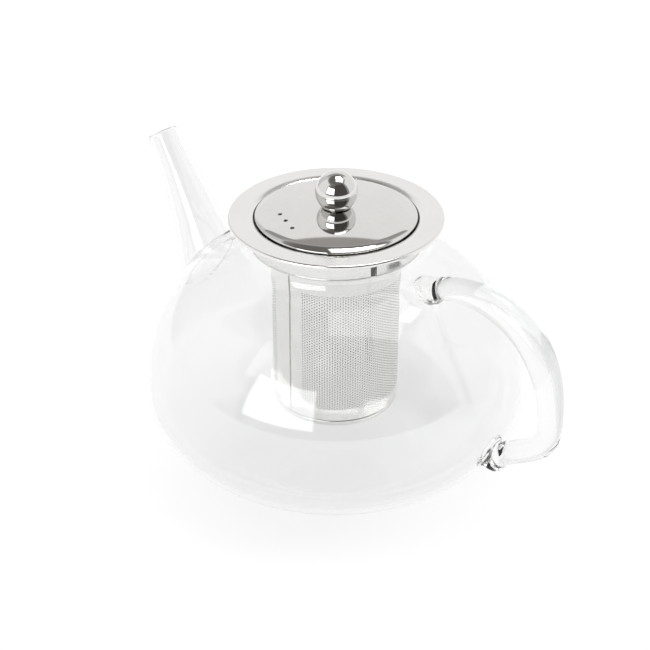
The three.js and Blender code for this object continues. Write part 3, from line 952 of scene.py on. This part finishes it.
class TEAPOT_OT_knob(Operator):
    """Build the ball from its two pressed halves, with the seam between them, and its seat"""

    bl_idname = "teapot.knob"
    bl_label = "Ball knob"

    def execute(self, context):
        s = context.scene.teapot_lid
        bright = bpy.data.materials["polished_steel"]
        radius, inner = BALL_HIGH.x, BALL_HIGH.x - s.shell
        middle = BALL_HIGH.z - radius
        split, foot = s.seam / radius, math.asin((middle - BALL_LOW.z) / radius)
        pocket, pocket_top = SEAT_HIGH.x + 0.4 * MM, SEAT_HIGH.z + GAP
        inner_foot = math.asin((middle - pocket_top - s.shell) / inner)
        brim, groove = 1.6 * s.seam / radius, radius - 2 * s.seam
        quarter = math.pi / 2

        def seam(start, end):
            """The ball's edge at the seam, rounded over by a short arc."""
            return arc(0, middle, radius, start, end, 36)

        upper_in = arc(0, middle, inner, quarter, split, 40)
        upper_out = seam(split + brim, quarter)
        lip = np.array([[groove, middle + s.seam]])
        upper = np.concatenate([upper_in, lip, upper_out])
        upper[0, 0] = upper[-1, 0] = 0.0
        half = add_mesh("ball_upper_half", *turned(upper, 96))
        finished(half, bright, "lid", "polished_steel", "knob_upper_shell")
        hole = 2.3 * MM
        lower = np.concatenate(
            [
                [[hole, pocket_top], [pocket, pocket_top], [pocket, BALL_LOW.z]],
                seam(-foot, -split - brim),
                [[groove, middle - s.seam]],
                arc(0, middle, inner, -split, -inner_foot, 30),
                [[hole, pocket_top + s.shell]],
            ]
        )
        half = add_mesh("ball_lower_half", *turned(lower, 96))
        finished(half, bright, "lid", "polished_steel", "knob_lower_shell")
        r, low, high = SEAT_HIGH.x, SEAT_LOW.z, SEAT_HIGH.z
        corners = [(SCREW_HOLE, low), (r, low), (r, high), (SCREW_HOLE, high)]
        seat = turned(rounded(corners, np.array([0.1, 0.25, 0.25, 0.1]) * MM, 5), 96)
        finished(add_mesh("ball_seat", *seat), bright, "lid", "polished_steel", "knob_collar")
        return {"FINISHED"}


class TEAPOT_OT_fittings(Operator):
    """Build the screw with its cross recess, and finish the washer and the bush"""

    bl_idname = "teapot.fittings"
    bl_label = "Screw, washer and bush"

    def execute(self, context):
        satin = bpy.data.materials["satin_steel"]
        head, top, low = SCREW_HIGH.x, SCREW_HIGH.z, SCREW_LOW.z
        shank, seat = 2.0 * MM, SCREW_LOW.z + 2.2 * MM
        corners = [(0.0, low), (head * 0.8, low), (head, seat - 0.6 * MM), (head, seat)]
        corners += [(shank, seat), (shank, top - 0.5 * MM), (shank - 0.5 * MM, top), (0.0, top)]
        bend = np.array([0, 0.8, 0.3, 0.15, 0.1, 0.1, 0.1, 0]) * MM
        screw = add_mesh("pan_screw", *turned(rounded(corners, bend, 5), 64))
        for turn in (0.0, math.pi / 2):
            combine(screw, recess_blade(turn, low, head * 0.55, 0.45 * MM, 1.2 * MM), "DIFFERENCE")
        finished(screw, satin, "lid", "satin_steel", "knob_screw")
        for name in ("lid_washer", "knob_boss"):
            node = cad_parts[name]
            node.data.materials.clear()
            node.data.materials.append(satin)
        return {"FINISHED"}


def recess_blade(turn, low, reach, half, depth):
    """One blade of the cross recess: a box that narrows upwards into the screw's head."""
    bottom = np.array([[-reach, -half], [reach, -half], [reach, half], [-reach, half]])
    rings = [np.c_[bottom * [1.1, 1.0], np.full(4, low - 1 * MM)]]
    rings.append(np.c_[bottom * [0.45, 0.7], np.full(4, low + depth)])
    points = np.concatenate(rings)
    c, d = math.cos(turn), math.sin(turn)
    spin = np.array([[c, d, 0], [-d, c, 0], [0, 0, 1]])
    return add_mesh("blade", points @ spin, [BLOCK_FACES])


# ---- Studio ----


WHITE = (1.0, 1.0, 1.0, 1.0)
CORE_TURN = math.radians(10)  # how far the bright patch is turned in the soft box


def grey(value, warmth=0.006):
    """A grey a little warmer than neutral."""
    return (value * (1 + warmth), value, value * (1 - warmth), 1.0)


def studio_world(scene, s):
    """A white backdrop and side walls, a soft box overhead, and a dark room with a window behind.

    The light is a function of direction alone: a, the angle in degrees round the vertical from the
    way the camera faces, and e, the height over the horizon. Overhead, side and ahead are where the
    direction meets a level plane one unit up. Each layer covers the ones before it.
    """
    scene.world = bpy.data.worlds.new("studio")
    tree = Tree(scene.world)
    x, y, z = tree.parts(tree.node("ShaderNodeTexCoord")["Generated"])
    right = x * math.cos(s.turn) + y * math.sin(s.turn)
    away = x * -math.sin(s.turn) + y * math.cos(s.turn)
    a = right.math("ARCTAN2", away) * (180 / math.pi)
    e = z.math("ARCSINE") * (180 / math.pi)
    up = z.math("MAXIMUM", 0.02)
    side, ahead, over = right / up, away / up, z.step(0.02, 0.05)
    cos, sin = math.cos(CORE_TURN), math.sin(CORE_TURN)
    u = (side - 0.168) * cos + (ahead - 0.298) * sin
    v = (ahead - 0.298) * cos - (side - 0.168) * sin

    walls = a.within(-121.0, 105.0, 2.0) * (1.0 - e.step(49.0, 55.0))
    shade = a.within(-61.0, -32.0, 4.0) * walls
    band = (1.0 - ahead.step(1.1, 1.12)) * (1.0 - a.math("ABSOLUTE").step(36.0, 44.0)) * walls
    behind = (1.0 - a.within(-168.0, 117.0, 1.5)) * (1.0 - e.step(55.0, 65.0))
    recess = a.within(-168.0, -137.0, 1.5) * (1.0 - e.step(50.0, 60.0))
    pane = a.within(-167.0, -125.0, 1.0) * e.within(6.0, 37.0, 1.0)
    box = side.within(-0.06, 0.6, 0.012) * ahead.within(-0.22, 0.36, 0.012) * over
    core = u.within(-0.2, 0.2, 0.012) * v.within(-0.12, 0.08, 0.012) * over
    light = tree.blend(e.step(50.0, 64.0), grey(0.34), grey(0.16, 0.06))
    layers = (
        (walls, grey(s.walls)),
        (shade, grey(0.72)),
        (band, grey(0.37, 0.04)),
        (behind, grey(0.08, 0.08)),
        (recess, grey(0.15, 0.1)),
        (pane, rgba((0.96, 0.99, 1.0), s.window)),
        (box, rgba((1, 0.99, 0.97), s.overhead)),
        (core, rgba((1, 0.99, 0.97), s.core)),
    )
    for mask, tone in layers:
        light = tree.blend(mask, light, tone)
    light = tree.blend(e.step(-4.0, -1.0), WHITE, light)
    background = tree.node("ShaderNodeBackground", inputs={"Color": light, "Strength": 1.0})
    tree.node("ShaderNodeOutputWorld", inputs={"Surface": background})


def pale_floor(s):
    """A wide plain floor just under the base."""
    half, drop = s.floor / 2, 0.2 * MM
    plan = np.array([[-half, -half], [half, -half], [half, half], [-half, half]])
    corners = np.c_[plan, np.full(4, -drop)]
    floor = add_mesh("studio_floor", corners, [np.array([[0, 1, 2, 3]])])
    material, tree = new_material("pale_floor")
    grain = tree.noise(tree.place(), 300.0, 2.0)
    tone = s.floor_colour
    inputs = {
        "Base Color": tree.blend(grain * 0.04, rgba(tone), rgba(tone, 0.97)),
        "Roughness": 0.9,
        "Emission Color": WHITE,
        "Emission Strength": s.floor_glow,
        "Specular IOR Level": 0.1,
    }
    tree.output(tree.principled(inputs))
    floor.data.materials.append(material)


class TEAPOT_OT_studio(Operator):
    """Make the floor, the light and the camera"""

    bl_idname = "teapot.studio"
    bl_label = "Studio"

    def execute(self, context):
        scene, s = context.scene, context.scene.teapot_studio
        pale_floor(s)
        studio_world(scene, s)
        data = bpy.data.cameras.new("studio_camera")
        data.lens, data.sensor_width = s.lens, 36.0
        camera = bpy.data.objects.new("studio_camera", data)
        camera.location = s.place
        camera.rotation_euler = (math.pi / 2 - s.dip, 0.0, s.turn)
        scene.collection.objects.link(camera)
        scene.camera = camera
        scene.view_settings.view_transform = "Standard"
        scene.cycles.max_bounces, scene.cycles.transmission_bounces = 48, 48
        scene.cycles.glossy_bounces, scene.cycles.transparent_max_bounces = 48, 24
        scene.cycles.caustics_refractive = scene.cycles.caustics_reflective = False
        scene.cycles.sample_clamp_indirect = 6.0
        scene.cycles.use_denoising = True
        return {"FINISHED"}


# ---- Add-on ----


class TEAPOT_PT_panel(Panel):
    """Lists the steps that build the teapot"""

    bl_idname = "TEAPOT_PT_panel"
    bl_label = "Glass teapot"
    bl_space_type = "VIEW_3D"
    bl_region_type = "UI"
    bl_category = "Teapot"

    def draw(self, context):
        for step in STEPS:
            self.layout.operator(step.bl_idname)


STEPS = (
    TEAPOT_OT_studio,
    TEAPOT_OT_glass,
    TEAPOT_OT_collar,
    TEAPOT_OT_basket,
    TEAPOT_OT_cup,
    TEAPOT_OT_crown,
    TEAPOT_OT_knob,
    TEAPOT_OT_fittings,
)
SETTINGS = {
    "teapot_glass": TeapotGlassSettings,
    "teapot_infuser": TeapotInfuserSettings,
    "teapot_lid": TeapotLidSettings,
    "teapot_studio": TeapotStudioSettings,
}


def register():
    for cls in (*SETTINGS.values(), *STEPS, TEAPOT_PT_panel):
        bpy.utils.register_class(cls)
    for name, cls in SETTINGS.items():
        setattr(bpy.types.Scene, name, PointerProperty(type=cls))


def unregister():
    for name in SETTINGS:
        delattr(bpy.types.Scene, name)
    for cls in (TEAPOT_PT_panel, *reversed(STEPS), *SETTINGS.values()):
        bpy.utils.unregister_class(cls)


def main():
    """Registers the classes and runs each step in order."""
    register()
    for step in STEPS:
        group, name = step.bl_idname.split(".")
        getattr(getattr(bpy.ops, group), name)()


if __name__ == "__main__":
    main()
